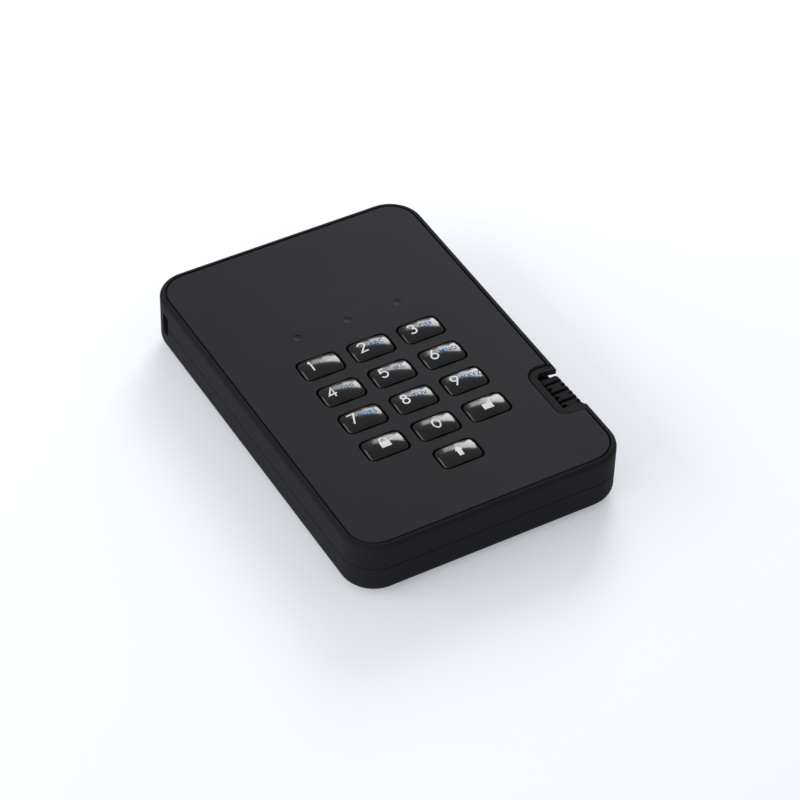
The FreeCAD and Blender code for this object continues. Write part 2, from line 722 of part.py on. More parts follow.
# Keys: a flange that hangs under the deck, a cap through the panel and a pillowed top
def make_key(label, column, row):
    across, along = key_place(column, row)
    key = new_body(label, across, along)
    crown = f"({case_top} + dim.key_rise)"
    brim = new_sketch(key, f"{label}_brim", "XY_Plane", f"{deck_z} - dim.flange_thickness")
    reach = "2 * (dim.key_gap + dim.flange_margin)"
    rectangle(brim, "0", "0", f"dim.key_width + {reach}", f"dim.key_length + {reach}", "dim.key_radius")
    pad(key, brim, "dim.flange_thickness")
    cap = new_sketch(key, f"{label}_cap", "XY_Plane", deck_z)
    rectangle(cap, "0", "0", "dim.key_width", "dim.key_length", "dim.key_radius")
    pad(key, cap, f"{crown} - {deck_z}")
    pillow = crown_cut(new_sketch(key, f"{label}_crown", "YZ_Plane", "0"), crown)
    made = key.newObject("PartDesign::Groove", f"{label}_pillow")
    made.Profile = pillow
    made.ReferenceAxis = (pillow, ["Axis0"])
    made.setExpression("Angle", "2 * asin(dim.key_width / dim.crown_across)")
    made.Midplane = True
    middle = number(f"({deck_z} + {case_top}) / 2")
    edge_work(key, "Fillet", made, "dim.key_edge", lambda box: box.ZMin > middle)


def crown_cut(sketch, crown):
    """Section above a key's arched top, and the level line that it is turned about."""
    top = number(crown)
    radius = number("dim.crown_along")
    reach = number("dim.key_length")
    rim = top - radius + (radius ** 2 - reach ** 2) ** 0.5
    high = top + number("dim.key_length / 2")
    left, right = FreeCAD.Vector(-reach, rim, 0), FreeCAD.Vector(reach, rim, 0)
    arc = sketch.addGeometry(Part.Arc(right, FreeCAD.Vector(0, top, 0), left))
    sketch.addGeometry(Part.LineSegment(left, FreeCAD.Vector(-reach, high, 0)))
    sketch.addGeometry(Part.LineSegment(FreeCAD.Vector(-reach, high, 0), FreeCAD.Vector(reach, high, 0)))
    sketch.addGeometry(Part.LineSegment(FreeCAD.Vector(reach, high, 0), right))
    axis_z = top - number("dim.crown_across")
    axis_line = Part.LineSegment(FreeCAD.Vector(0, axis_z, 0), FreeCAD.Vector(reach, axis_z, 0))
    axis = sketch.addGeometry(axis_line, True)
    tie(sketch, "Coincident", arc, 2, arc + 1, 1)
    tie(sketch, "Coincident", arc + 1, 2, arc + 2, 1)
    tie(sketch, "Coincident", arc + 2, 2, arc + 3, 1)
    tie(sketch, "Coincident", arc + 3, 2, arc, 1)
    tie(sketch, "Vertical", arc + 1)
    tie(sketch, "Horizontal", arc + 2)
    tie(sketch, "Vertical", arc + 3)
    tie(sketch, "PointOnObject", arc, 3, -2)
    bind(sketch, "dim.crown_along", "Radius", arc)
    bind(sketch, f"{crown} - dim.crown_along", "DistanceY", -1, 1, arc, 3)
    bind(sketch, "dim.key_length", "DistanceX", -1, 1, arc, 1)
    bind(sketch, "-dim.key_length", "DistanceX", -1, 1, arc, 2)
    bind(sketch, f"{crown} + dim.key_length / 2", "DistanceY", -1, 1, arc + 2, 1)
    tie(sketch, "Horizontal", axis)
    tie(sketch, "PointOnObject", axis, 1, -2)
    bind(sketch, f"{crown} - dim.crown_across", "DistanceY", -1, 1, axis, 1)
    bind(sketch, "dim.key_length", "DistanceX", -1, 1, axis, 2)
    return sketch


make_key("key_1", -1, 0)
make_key("key_2", 0, 0)
make_key("key_3", 1, 0)
make_key("key_4", -1, 1)
make_key("key_5", 0, 1)
make_key("key_6", 1, 1)
make_key("key_7", -1, 2)
make_key("key_8", 0, 2)
make_key("key_9", 1, 2)
make_key("key_lock", -1, 3)
make_key("key_0", 0, 3)
make_key("key_unlock", 1, 3)
make_key("key_shift", 0, 4)

# Silicone sheet with a hollow dome under each key; its own frame stands at the first key
domes = new_body("dome_sheet", *key_place(-1, 0), board_top)
sheet = new_sketch(domes, "dome_sheet_outline", "XY_Plane", "0")
outline(sheet, ["-4 * dim.key_pitch_y - dim.sheet_margin", "2 * dim.key_pitch_x + dim.sheet_margin",
                "dim.sheet_margin", "-dim.sheet_margin"], "dim.sheet_round")
pad(domes, sheet, "dim.sheet_thickness")
dome_height = "(dim.board_drop - dim.flange_thickness)"
hollow_height = f"({dome_height} - dim.dome_roof)"
form = new_sketch(domes, "dome_form", "XZ_Plane", "0")
profile(form, [("0", "0"), ("dim.dome_base", "0"), ("dim.dome_base", "dim.sheet_thickness"),
               ("dim.dome_top", dome_height), ("0", dome_height)])
form = turned(domes, "Revolution", form)
space = new_sketch(domes, "dome_hollow", "XZ_Plane", "0")
profile(space, [("0", "-dim.dome_wall"), ("dim.dome_base - dim.dome_wall", "-dim.dome_wall"),
                ("dim.dome_base - dim.dome_wall", "dim.sheet_thickness - dim.dome_floor"),
                ("dim.dome_top - dim.dome_wall", hollow_height), ("0", hollow_height)])
space = turned(domes, "Groove", space)
grid = repeated(domes, [form, space], sheet, "H_Axis", "dim.key_pitch_x", 3)
grid.Direction2 = (sheet, ["V_Axis"])
grid.Mode2 = "Spacing"
grid.setExpression("Offset2", "dim.key_pitch_y")
grid.Occurrences2 = 4
grid.Reversed2 = True
last = new_sketch(domes, "last_dome", "XY_Plane", "0")
circle(last, "dim.key_pitch_x", "-4 * dim.key_pitch_y", "dim.dome_base")
pad(domes, last, dome_height, taper=f"-atan((dim.dome_base - dim.dome_top) / {dome_height})")
space = new_sketch(domes, "last_hollow", "XY_Plane", "0")
circle(space, "dim.key_pitch_x", "-4 * dim.key_pitch_y", "dim.dome_top - dim.dome_wall")
domes.Tip = pocket(domes, space, hollow_height, reverse=True)

# Light pipes under the three status windows, and their lamps on the board
for label, column in (("left", -1), ("middle", 0), ("right", 1)):
    middle = key_place(column, 0)[0]
    pipe = new_body(f"light_pipe_{label}", middle, pipe_y)
    form = new_sketch(pipe, f"pipe_{label}", "XZ_Plane", "0")
    foot = f"{board_top} + dim.lamp_height + dim.lamp_gap"
    head_top = f"{case_top} - dim.pipe_sink"
    profile(form, [("0", foot), ("dim.pipe_radius", foot), ("dim.pipe_radius", deck_top),
                   (pipe_head, deck_top), (pipe_head, head_top), ("0", f"{head_top} - dim.pipe_dish")])
    turned(pipe, "Revolution", form)
    block(f"led_{label}", f"{middle} - dim.lamp_width / 2", f"{middle} + dim.lamp_width / 2",
          f"{pipe_y} - dim.lamp_length / 2", f"{pipe_y} + dim.lamp_length / 2",
          board_top, f"{board_top} + dim.lamp_height")

# Main circuit board, cut away behind the lock slot, with its chips underneath
board = new_body("main_board")
plate = new_sketch(board, "board_outline", "XY_Plane", board_low)
outline(plate, [board_front, board_right, board_back, lock_room_x, lock_room_y, board_left],
        "dim.board_round")
pad(board, plate, "dim.board_thickness")
holes = new_sketch(board, "board_holes", "XY_Plane", board_top)
for place in boss_places:
    circle(holes, *place, "dim.screw_radius + dim.board_hole_play")
pocket(board, holes, "dim.board_thickness")


def chip(label, left, along, width, length, height="dim.chip_height"):
    """A chip under the board, from its left side."""
    block(label, left, f"{left} + {width}", f"{along} - {length} / 2", f"{along} + {length} / 2",
          f"{board_low} - {height}", board_low)


chip_y = f"({pipe_y} + dim.chip_row)"
crystal_left = "(dim.keypad_x - dim.chip_reach)"
bridge_left = f"({crystal_left} + dim.crystal_width + dim.chip_gap)"
secure_left = f"({bridge_left} + dim.bridge_size + dim.chip_gap)"
firmware_left = f"({secure_left} + dim.secure_size + dim.chip_gap)"
chip("crystal", crystal_left, chip_y, "dim.crystal_width", "dim.crystal_length")
chip("bridge_chip", bridge_left, chip_y, "dim.bridge_size", "dim.bridge_size")
chip("secure_chip", secure_left, chip_y, "dim.secure_size", "dim.secure_size")
chip("firmware_chip", firmware_left, chip_y, "dim.firmware_width", "dim.firmware_length")
chip("power_inductor", *key_place(1, 3), "dim.inductor_size", "dim.inductor_size", "dim.inductor_height")

# Four screws that hold the board to the upper half's bosses
screws = []
for i, (across, along) in enumerate(boss_places):
    shank = doc.addObject("Part::Cylinder", f"screw_shank_{i}")
    shank.setExpression("Radius", "dim.screw_radius")
    shank.setExpression("Height", f"{deck_z} - {board_low}")
    head = doc.addObject("Part::Prism", f"screw_head_{i}")
    head.Polygon = 6
    head.setExpression("Circumradius", "dim.screw_head_radius / cos(30)")
    head.setExpression("Height", "dim.screw_head")
    for piece, low in ((shank, board_low), (head, f"{board_low} - dim.screw_head")):
        piece.setExpression("Placement.Base.x", across)
        piece.setExpression("Placement.Base.y", along)
        piece.setExpression("Placement.Base.z", low)
    screw = doc.addObject("Part::Fuse", f"screw_{i}")
    screw.Base = shank
    screw.Tool = head
    screws.append(screw)
group("board_screws", screws)

# Solid state drive: a tray and a lid round its own board
ssd_left = f"(-{inner_x} + dim.damper + dim.damper_play)"
ssd_right = f"({hall_x} - dim.damper - dim.damper_play)"
ssd_middle = f"(({ssd_left} + {ssd_right}) / 2)"
ssd_front = f"(-{inner_y} + dim.ssd_front_gap)"
ssd_back = f"({inner_y} - dim.ssd_back_gap)"
ssd_low = f"({floor_z} + dim.ssd_rest)"
ssd_floor = f"({ssd_low} + dim.tray_floor)"
lid_low = f"({board_low} - dim.ssd_clear - dim.lid)"
plug_x = f"({ssd_middle} - dim.plug_offset)"
plug_back = f"({ssd_back} - dim.plug_length)"
ssd_board_front = f"({plug_back} - dim.ssd_board_length)"
ssd_board_low = f"({ssd_floor} + dim.rib_height)"
ssd_board_top = f"({ssd_board_low} + dim.ssd_board)"
tray = new_body("ssd_tray")
base = new_sketch(tray, "tray_outline", "XY_Plane", ssd_low)
outline(base, [ssd_front, ssd_right, ssd_back, ssd_left], "dim.ssd_round")
pad(tray, base, f"{lid_low} - {ssd_low}")
well = new_sketch(tray, "tray_well", "XY_Plane", lid_low)
outline(well, [f"{ssd_front} + dim.tray_wall", f"{ssd_right} - dim.tray_wall", f"{ssd_back} - dim.tray_wall",
               f"{ssd_left} + dim.tray_wall"], "dim.tray_round")
pocket(tray, well, f"{lid_low} - {ssd_floor}")
ribs = new_sketch(tray, "tray_ribs", "XY_Plane", ssd_floor)
for along in (f"{ssd_board_front} + dim.rib_inset", f"{plug_back} - dim.rib_inset"):
    rectangle(ribs, ssd_middle, along, f"{ssd_right} - {ssd_left} - dim.tray_wall", "dim.rib_width")
pad(tray, ribs, "dim.rib_height")
gap = new_sketch(tray, "tray_gap", "XY_Plane", lid_low)
rectangle(gap, plug_x, ssd_back, "dim.plug_width + 2 * dim.plug_play",
          "2 * (dim.plug_length + dim.plug_play)")
pocket(tray, gap, f"{lid_low} - {ssd_floor}")
lid = new_body("ssd_lid")
sheet = new_sketch(lid, "lid_outline", "XY_Plane", lid_low)
outline(sheet, [ssd_front, ssd_right, ssd_back, ssd_left], "dim.ssd_round")
pad(lid, sheet, "dim.lid")
side_gap = "(dim.tray_wall + dim.ssd_board_gap)"
block("ssd_board", f"{ssd_left} + {side_gap}", f"{ssd_right} - {side_gap}", ssd_board_front, plug_back,
      ssd_board_low, ssd_board_top)


def drive_chip(label, across, along, width, length):
    """A chip on the drive's own board, about its middle."""
    block(label, f"{across} - {width} / 2", f"{across} + {width} / 2", f"{along} - {length} / 2",
          f"{along} + {length} / 2", ssd_board_top, f"{ssd_board_top} + dim.ssd_chip")


memory_y = f"{plug_back} - dim.memory_inset"
drive_chip("ssd_controller", plug_x, f"{plug_back} - dim.controller_inset", "dim.controller_size",
           "dim.controller_size")
drive_chip("ssd_memory_left", f"{ssd_middle} - dim.memory_offset", memory_y, "dim.memory_width",
           "dim.memory_length")
drive_chip("ssd_memory_right", f"{ssd_middle} + dim.memory_offset", memory_y, "dim.memory_width",
           "dim.memory_length")

# Drive's connector, and the socket that hangs from the main board with its blade in it
plug_top = f"({lid_low} - dim.plug_drop)"
contact_z = f"(({ssd_floor} + {plug_top}) / 2)"
plug = new_body("ssd_connector")
form = new_sketch(plug, "ssd_connector_form", "XY_Plane", ssd_floor)
outline(form, [plug_back, f"{plug_x} + dim.plug_width / 2", ssd_back, f"{plug_x} - dim.plug_width / 2"])
pad(plug, form, f"{plug_top} - {ssd_floor}")
mouth = new_sketch(plug, "ssd_connector_mouth", "XZ_Plane", f"-{ssd_back}")
rectangle(mouth, plug_x, contact_z, "dim.plug_width - 2 * dim.mouth_side", "dim.mouth_height")
pocket(plug, mouth, "dim.mouth_depth", reverse=True)
socket = new_body("sata_socket")
socket_front = f"({ssd_back} + dim.socket_gap)"
form = new_sketch(socket, "socket_form", "XY_Plane", ssd_floor)
rectangle(form, plug_x, f"{socket_front} + dim.socket_length / 2", "dim.plug_width + 2 * dim.socket_side",
          "dim.socket_length")
pad(socket, form, f"{board_low} - {ssd_floor}")
blade = new_sketch(socket, "socket_blade", "XZ_Plane", f"-{socket_front}")
rectangle(blade, plug_x, contact_z, "dim.plug_width - 2 * (dim.mouth_side + dim.blade_play)",
          "dim.mouth_height - 2 * dim.blade_play")
pad(socket, blade, "dim.mouth_depth + dim.socket_gap - dim.blade_play")


# Silicone cushions: a strip beside the drive with a foot under its edge
def make_damper(label, along, outer, inner, foot):
    cushion = new_body(label)
    section = new_sketch(cushion, f"{label}_section", "XZ_Plane", f"-({along})")
    outline(section, [floor_z, foot, ssd_low, inner, f"{ssd_low} + dim.damper_height", outer])
    pad(cushion, section, "dim.damper_length", both=True)


left_outer = f"-{inner_x} + dim.damper_play"
left_foot = f"{ssd_left} + dim.damper_foot"
right_outer = f"{hall_x} - dim.damper_play"
right_foot = f"{ssd_right} - dim.damper_foot"
far_damper = f"{ssd_back} - dim.damper_inset"
make_damper("damper_front_left", f"{ssd_front} + dim.damper_inset", left_outer, ssd_left, left_foot)
make_damper("damper_back_left", far_damper, left_outer, ssd_left, left_foot)
make_damper("damper_front_right", f"{anchor_y} + dim.damper_length / 2 + dim.damper_anchor_gap",
            right_outer, ssd_right, right_foot)
make_damper("damper_back_right", far_damper, right_outer, ssd_right, right_foot)

# Steel plate behind the lock slot, standing between floor and deck
plate = new_body("lock_plate")
plate_x = f"(-{inner_x} + dim.plate_play)"
plate_half = "(dim.lock_width / 2 + dim.plate_margin)"
form = new_sketch(plate, "plate_form", "YZ_Plane", plate_x)
outline(form, [floor_z, f"{lock_y} + {plate_half}", f"{deck_z} - dim.plate_play", f"{lock_y} - {plate_half}"])
pad(plate, form, "dim.plate_thickness")
slot = lock_outline(new_sketch(plate, "plate_slot", "YZ_Plane", plate_x))
pocket(plate, slot, "dim.plate_thickness", reverse=True)

# Rubber feet let into the underside
for label, across, along in (("front_left", f"-{foot_x}", f"-{foot_y}"),
                             ("front_right", foot_x, f"-{foot_y}"),
                             ("back_left", f"-{foot_x}", foot_y),
                             ("back_right", foot_x, foot_y)):
    foot = new_body(f"foot_{label}", across, along)
    disc = circle(new_sketch(foot, f"disc_{label}", "XY_Plane", "0"), "0", "0", "dim.foot_radius")
    solid = pad(foot, disc, "dim.foot_height + dim.foot_sink")
    edge_work(foot, "Fillet", solid, "dim.foot_round", level_at("0"))

# Boot of the lead: a tapering strain relief, slotted in turn above and below and at its sides
boot_foot = f"({channel_front} + dim.boot_gap)"
boot_tip = f"({mouth_back} - dim.tip_gap)"
boot_width = "(dim.channel_depth - 2 * dim.boot_side_gap)"
boot_z = f"({case_top} - dim.boot_drop - dim.boot_height / 2)"
boot = new_body("lead_boot")
wide = new_sketch(boot, "boot_foot", "XZ_Plane", f"-{boot_foot}")
rectangle(wide, lead_x, boot_z, boot_width, "dim.boot_height", "dim.boot_round")
narrow = new_sketch(boot, "boot_tip", "XZ_Plane", f"-{boot_tip}")
rectangle(narrow, lead_x, boot_z, f"{boot_width} - dim.tip_narrow", "dim.tip_height", "dim.boot_round")
form = boot.newObject("PartDesign::AdditiveLoft", "boot_form")
form.Profile = wide
form.Sections = [narrow]
form.Ruled = True
slot_off = "(dim.slot_core + dim.slot_reach / 2)"
upright = new_sketch(boot, "boot_slots", "YZ_Plane", lead_x)
for middle in (f"{boot_z} + {slot_off}", f"{boot_z} - {slot_off}"):
    rectangle(upright, f"{boot_tip} - dim.slot_start", middle, "dim.slot_width", "dim.slot_reach")
cut = pocket(boot, upright, f"2 * {boot_width}", both=True)
repeated(boot, [cut], upright, "H_Axis", "dim.slot_pitch", 3, back=True)
level = new_sketch(boot, "boot_side_slots", "XY_Plane", boot_z)
for middle in (f"{lead_x} + {slot_off}", f"{lead_x} - {slot_off}"):
    rectangle(level, middle, f"{boot_tip} - dim.slot_start - dim.slot_pitch / 2", "dim.slot_reach",
              "dim.slot_width")
cut = pocket(boot, level, "2 * dim.boot_height", both=True)
slotted = repeated(boot, [cut], level, "V_Axis", "dim.slot_pitch", 3, back=True)
tip_place = number(boot_tip)
edge_work(boot, "Fillet", slotted, "dim.tip_round", lambda box: box.YMin > tip_place - 0.001)
neck_low = f"({tongue_z} + dim.neck_play)"
neck = new_sketch(boot, "boot_neck", "XZ_Plane", f"-{boot_foot}")
outline(neck, [neck_low, neck_right, neck_top, neck_left], "dim.neck_round")
pad(boot, neck, f"{boot_foot} - {anchor_y} + dim.neck_play")
tab = new_sketch(boot, "boot_tab", "XZ_Plane", f"-({anchor_y} - dim.neck_play)")
outline(tab, [neck_low, neck_right, neck_top, f"{hall_x} + dim.tab_gap"], "dim.neck_round")
boot.Tip = pad(boot, tab, "dim.tab_thickness")

# Lead from the boot to the plug, with an easy double bend down to the plug's line
plug_z = f"(({floor_z} + {roof_z}) / 2)"
shell_end = f"({channel_back} - dim.plug_end_gap)"
grip_back = f"({shell_end} - dim.shell_length)"
grip_front = f"({grip_back} - dim.grip_length)"
bend_front = f"({boot_tip} + dim.lead_straight)"
bend_back = f"({grip_front} - dim.lead_straight)"
lead = new_body("lead_cable")
path = new_sketch(lead, "lead_path", "YZ_Plane", lead_x)
high, low = number(boot_z), number(plug_z)
near, far = number(bend_front), number(bend_back)
run = far - near
bend = (run ** 2 + (high - low) ** 2) / (4 * (high - low))
fall = bend - (bend ** 2 - (run / 4) ** 2) ** 0.5
half = FreeCAD.Vector((near + far) / 2, (high + low) / 2, 0)
start, leave = FreeCAD.Vector(number(boot_tip), high, 0), FreeCAD.Vector(near, high, 0)
meet, finish = FreeCAD.Vector(far, low, 0), FreeCAD.Vector(number(grip_front), low, 0)
path.addGeometry(Part.LineSegment(start, leave))
path.addGeometry(Part.Arc(leave, FreeCAD.Vector(near + run / 4, high - fall, 0), half))
path.addGeometry(Part.Arc(half, FreeCAD.Vector(far - run / 4, low + fall, 0), meet))
path.addGeometry(Part.LineSegment(meet, finish))
tie(path, "Horizontal", 0)
tie(path, "Horizontal", 3)
tie(path, "Tangent", 0, 2, 1, 2)
tie(path, "Tangent", 1, 1, 2, 1)
tie(path, "Tangent", 2, 2, 3, 1)
tie(path, "Equal", 1, 2)
bind(path, boot_z, "DistanceY", -1, 1, 0, 1)
bind(path, plug_z, "DistanceY", -1, 1, 3, 1)
bind(path, boot_tip, "DistanceX", -1, 1, 0, 1)
bind(path, bend_front, "DistanceX", -1, 1, 0, 2)
bind(path, bend_back, "DistanceX", -1, 1, 3, 1)
bind(path, grip_front, "DistanceX", -1, 1, 3, 2)
ring = circle(new_sketch(lead, "lead_ring", "XZ_Plane", f"-{boot_tip}"), lead_x, boot_z, "dim.lead_radius")
swept(lead, ring, path)

# Tail of the lead inside the case, from the boot's tab round to its header on the board
wire_z = f"({board_top} + dim.wire_radius + dim.wire_lift)"
tail = new_body("lead_wires")
path = new_sketch(tail, "wire_path", "XY_Plane", wire_z)
begin = FreeCAD.Vector(number(lead_x), number(wire_start), 0)
turn = begin - FreeCAD.Vector(0, number("dim.wire_straight"), 0)
bend = number("dim.wire_bend")
middle = turn + FreeCAD.Vector(-bend + bend * 0.5 ** 0.5, -bend * 0.5 ** 0.5, 0)
leave = turn + FreeCAD.Vector(-bend, -bend, 0)
path.addGeometry(Part.LineSegment(begin, turn))
path.addGeometry(Part.Arc(turn, middle, leave))
path.addGeometry(Part.LineSegment(leave, FreeCAD.Vector(number(header_right), leave.y, 0)))
tie(path, "Vertical", 0)
tie(path, "Horizontal", 2)
tie(path, "Tangent", 0, 2, 1, 2)
tie(path, "Tangent", 1, 1, 2, 1)
bind(path, lead_x, "DistanceX", -1, 1, 0, 1)
bind(path, wire_start, "DistanceY", -1, 1, 0, 1)
bind(path, wire_y, "DistanceY", -1, 1, 2, 1)
bind(path, "dim.wire_bend", "Radius", 1)
bind(path, header_right, "DistanceX", -1, 1, 2, 2)
ring = circle(new_sketch(tail, "wire_ring", "XZ_Plane", f"-{wire_start}"), lead_x, wire_z, "dim.wire_radius")
swept(tail, ring, path)
block("lead_header", header_left, header_right, f"{wire_y} - dim.header_length / 2",
      f"{wire_y} + dim.header_length / 2", board_top, f"{board_top} + dim.header_height")

# Plug of the lead, stowed on edge at the far end of the channel
grip_width = "(dim.channel_depth - 2 * dim.grip_side_gap)"
grip_height = f"({roof_z} - {floor_z} - 2 * dim.grip_clear)"
grip = new_body("plug_grip")
form = new_sketch(grip, "grip_form", "XZ_Plane", f"-{grip_back}")
rectangle(form, lead_x, plug_z, grip_width, grip_height, "dim.grip_round")
solid = pad(grip, form, "dim.grip_length")
front = number(grip_front)
edge_work(grip, "Fillet", solid, "dim.grip_nose", lambda box: box.YMax < front + 0.001)
hole = new_sketch(grip, "grip_hole", "XZ_Plane", f"-{grip_back}")
rectangle(hole, lead_x, plug_z, "dim.shell_width", "dim.shell_height", "dim.shell_round")
pocket(grip, hole, "dim.shell_sink", reverse=True)
groove = new_sketch(grip, "grip_groove", "YZ_Plane", f"{lead_x} + {grip_width} / 2")
rectangle(groove, f"{grip_front} + dim.ridge_start", plug_z, "dim.ridge_width",
          f"{grip_height} - 2 * dim.ridge_inset", "dim.ridge_depth")
cut = pocket(grip, groove, "dim.ridge_depth")
repeated(grip, [cut], groove, "H_Axis", "dim.ridge_pitch", 6)

# Metal shell of the plug, its tongue and its contacts
shell = new_body("plug_shell")
form = new_sketch(shell, "shell_form", "XZ_Plane", f"-{shell_end}")
rectangle(form, lead_x, plug_z, "dim.shell_width", "dim.shell_height", "dim.shell_round")
rectangle(form, lead_x, plug_z, "dim.shell_width - 2 * dim.shell_wall",
          "dim.shell_height - 2 * dim.shell_wall", "dim.shell_round - dim.shell_wall")
pad(shell, form, "dim.shell_length + dim.shell_sink")
windows = new_sketch(shell, "shell_windows", "YZ_Plane", lead_x)
for height in (f"{plug_z} - dim.window_offset", f"{plug_z} + dim.window_offset"):
    rectangle(windows, f"{grip_back} + dim.window_place", height, "dim.window_width", "dim.window_height")
pocket(shell, windows, "2 * dim.shell_width", both=True)
tongue_left = f"({lead_x} - dim.shell_width / 2 + dim.shell_wall + dim.tongue_side_play)"
tongue_face = f"({tongue_left} + dim.plug_tongue)"
tongue_half = "(dim.shell_height / 2 - dim.shell_wall - dim.tongue_end_play)"
block("plug_tongue", tongue_left, tongue_face, f"{grip_back} - dim.shell_sink",
      f"{shell_end} - dim.tongue_short", f"{plug_z} - {tongue_half}", f"{plug_z} + {tongue_half}")


def contact(label, place, kind):
    """A metal strip on the tongue's face, at a height from the plug's middle."""
    back = f"{shell_end} - dim.{kind}_start"
    return block(label, tongue_face, f"{tongue_face} + dim.{kind}_thickness",
                 f"{back} - dim.{kind}_length", back, f"{plug_z} + {place} - dim.{kind}_width / 2",
                 f"{plug_z} + {place} + dim.{kind}_width / 2", listed=False)


contacts = [contact("contact_1", "-dim.contact_outer", "contact"),
            contact("contact_2", "-dim.contact_inner", "contact"),
            contact("contact_3", "dim.contact_inner", "contact"),
            contact("contact_4", "dim.contact_outer", "contact")]
for place in (-2, -1, 0, 1, 2):
    contacts.append(contact(f"spring_{place + 3}", f"{place} * dim.spring_pitch", "spring"))
group("plug_contacts", contacts)

doc.removeObject(gauge.Name)
doc.recompute()
for item in doc.Objects:
    if "Invalid" in item.State or "Error" in item.State:
        raise RuntimeError(f"{item.Name}: {item.State}")
os.makedirs("parts", exist_ok=True)
for item in subparts:
    if item.Shape.isNull() or not item.Shape.isValid():
        raise RuntimeError(f"{item.Label} has no valid shape")
    item.Shape.exportStep(f"parts/{item.Label}.step")
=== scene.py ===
import bmesh
import bpy
import math
from mathutils import Matrix, Vector


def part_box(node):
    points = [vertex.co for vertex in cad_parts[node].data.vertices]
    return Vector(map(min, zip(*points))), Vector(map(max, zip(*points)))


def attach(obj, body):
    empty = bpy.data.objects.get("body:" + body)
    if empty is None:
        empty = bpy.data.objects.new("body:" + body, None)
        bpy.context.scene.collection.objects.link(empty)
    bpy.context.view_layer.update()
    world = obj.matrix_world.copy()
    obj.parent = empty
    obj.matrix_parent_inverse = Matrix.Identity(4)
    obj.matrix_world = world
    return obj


# Encrypted external solid state drive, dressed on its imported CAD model.
# Metres. X runs across, Y towards the far end of the keypad, Z up from the floor.
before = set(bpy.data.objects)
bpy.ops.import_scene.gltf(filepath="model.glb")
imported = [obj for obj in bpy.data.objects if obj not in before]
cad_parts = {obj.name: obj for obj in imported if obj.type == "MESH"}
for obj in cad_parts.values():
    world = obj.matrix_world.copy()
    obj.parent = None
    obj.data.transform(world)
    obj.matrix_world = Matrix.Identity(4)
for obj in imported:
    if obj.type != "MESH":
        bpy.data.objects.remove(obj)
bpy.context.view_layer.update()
scene = bpy.context.scene

# Case halves
# Injection-moulded black plastic with a fine eroded grain, closed on a tongue and glued,
# so only the thin parting line shows.


def grained(name, dark, light, mottle, roughness, grain, depth, **sockets):
    """A material of two close shades in soft patches, with a fine grain and an uneven sheen."""
    patch_detail, pit_detail = 4, 2
    dark_up_to, light_from = 0.35, 0.65
    sheen_spread = 0.15
    material = bpy.data.materials.new(name)
    material.use_nodes = True
    nodes = material.node_tree.nodes
    link = material.node_tree.links.new
    shader = nodes["Principled BSDF"]
    place = nodes.new("ShaderNodeTexCoord")
    patches = nodes.new("ShaderNodeTexNoise")
    patches.inputs["Scale"].default_value = 1 / mottle
    patches.inputs["Detail"].default_value = patch_detail
    link(place.outputs["Object"], patches.inputs["Vector"])
    shades = nodes.new("ShaderNodeValToRGB")
    shades.color_ramp.elements[0].position = dark_up_to
    shades.color_ramp.elements[0].color = (*dark, 1)
    shades.color_ramp.elements[1].position = light_from
    shades.color_ramp.elements[1].color = (*light, 1)
    link(patches.outputs["Fac"], shades.inputs["Fac"])
    link(shades.outputs["Color"], shader.inputs["Base Color"])
    pits = nodes.new("ShaderNodeTexNoise")
    pits.inputs["Scale"].default_value = 1 / grain
    pits.inputs["Detail"].default_value = pit_detail
    link(place.outputs["Object"], pits.inputs["Vector"])
    sheen = nodes.new("ShaderNodeMapRange")
    sheen.inputs["To Min"].default_value = roughness * (1 - sheen_spread)
    sheen.inputs["To Max"].default_value = roughness * (1 + sheen_spread)
    link(pits.outputs["Fac"], sheen.inputs["Value"])
    link(sheen.outputs["Result"], shader.inputs["Roughness"])
    relief = nodes.new("ShaderNodeBump")
    relief.inputs["Strength"].default_value = 1
    relief.inputs["Distance"].default_value = depth
    link(pits.outputs["Fac"], relief.inputs["Height"])
    link(relief.outputs["Normal"], shader.inputs["Normal"])
    for socket, value in sockets.items():
        shader.inputs[socket.replace("_", " ")].default_value = value
    return material


def dress(material, *names):
    """Give a material to CAD nodes."""
    for name in names:
        slots = bpy.data.objects[name].data.materials
        slots.clear()
        slots.append(material)


case_plastic = grained("case_plastic", (0.0095, 0.0098, 0.0122), (0.0110, 0.0113, 0.0138), mottle=0.03,
                       roughness=0.85, grain=0.00025, depth=0.000006, Specular_IOR_Level=0.22)
dress(case_plastic, "upper_shell", "lower_shell")

# Face panel
# Thin sheet with a dark grey satin lacquer, let into the top of the case on an adhesive
# sheet, with a narrow groove all round it.
panel_lacquer = grained("panel_lacquer", (0.0250, 0.0250, 0.0290), (0.0272, 0.0272, 0.0314), mottle=0.02,
                        roughness=0.5, grain=0.00012, depth=0.000003, Specular_IOR_Level=0.04)
dress(panel_lacquer, "face_panel")
adhesive = grained("adhesive", (0.006, 0.006, 0.006), (0.012, 0.012, 0.012), mottle=0.004,
                   roughness=0.7, grain=0.0003, depth=0.00001)
dress(adhesive, "panel_adhesive")

# Keys
# Thirteen gloss black plastic keys with pillowed tops. Each hangs by its flange under the
# deck and stands on its own dome of a moulded silicone sheet, which springs it back.
key_gloss = grained("key_gloss", (0.004, 0.004, 0.0045), (0.006, 0.006, 0.0065), mottle=0.004,
                    roughness=0.135, grain=0.0005, depth=0.0000003)
dress(key_gloss, "key_1", "key_2", "key_3", "key_4", "key_5", "key_6", "key_7", "key_8", "key_9",
      "key_lock", "key_0", "key_unlock", "key_shift")
silicone = grained("silicone", (0.32, 0.33, 0.34), (0.38, 0.39, 0.40), mottle=0.003,
                   roughness=0.55, grain=0.0004, depth=0.00001)
dress(silicone, "dome_sheet")

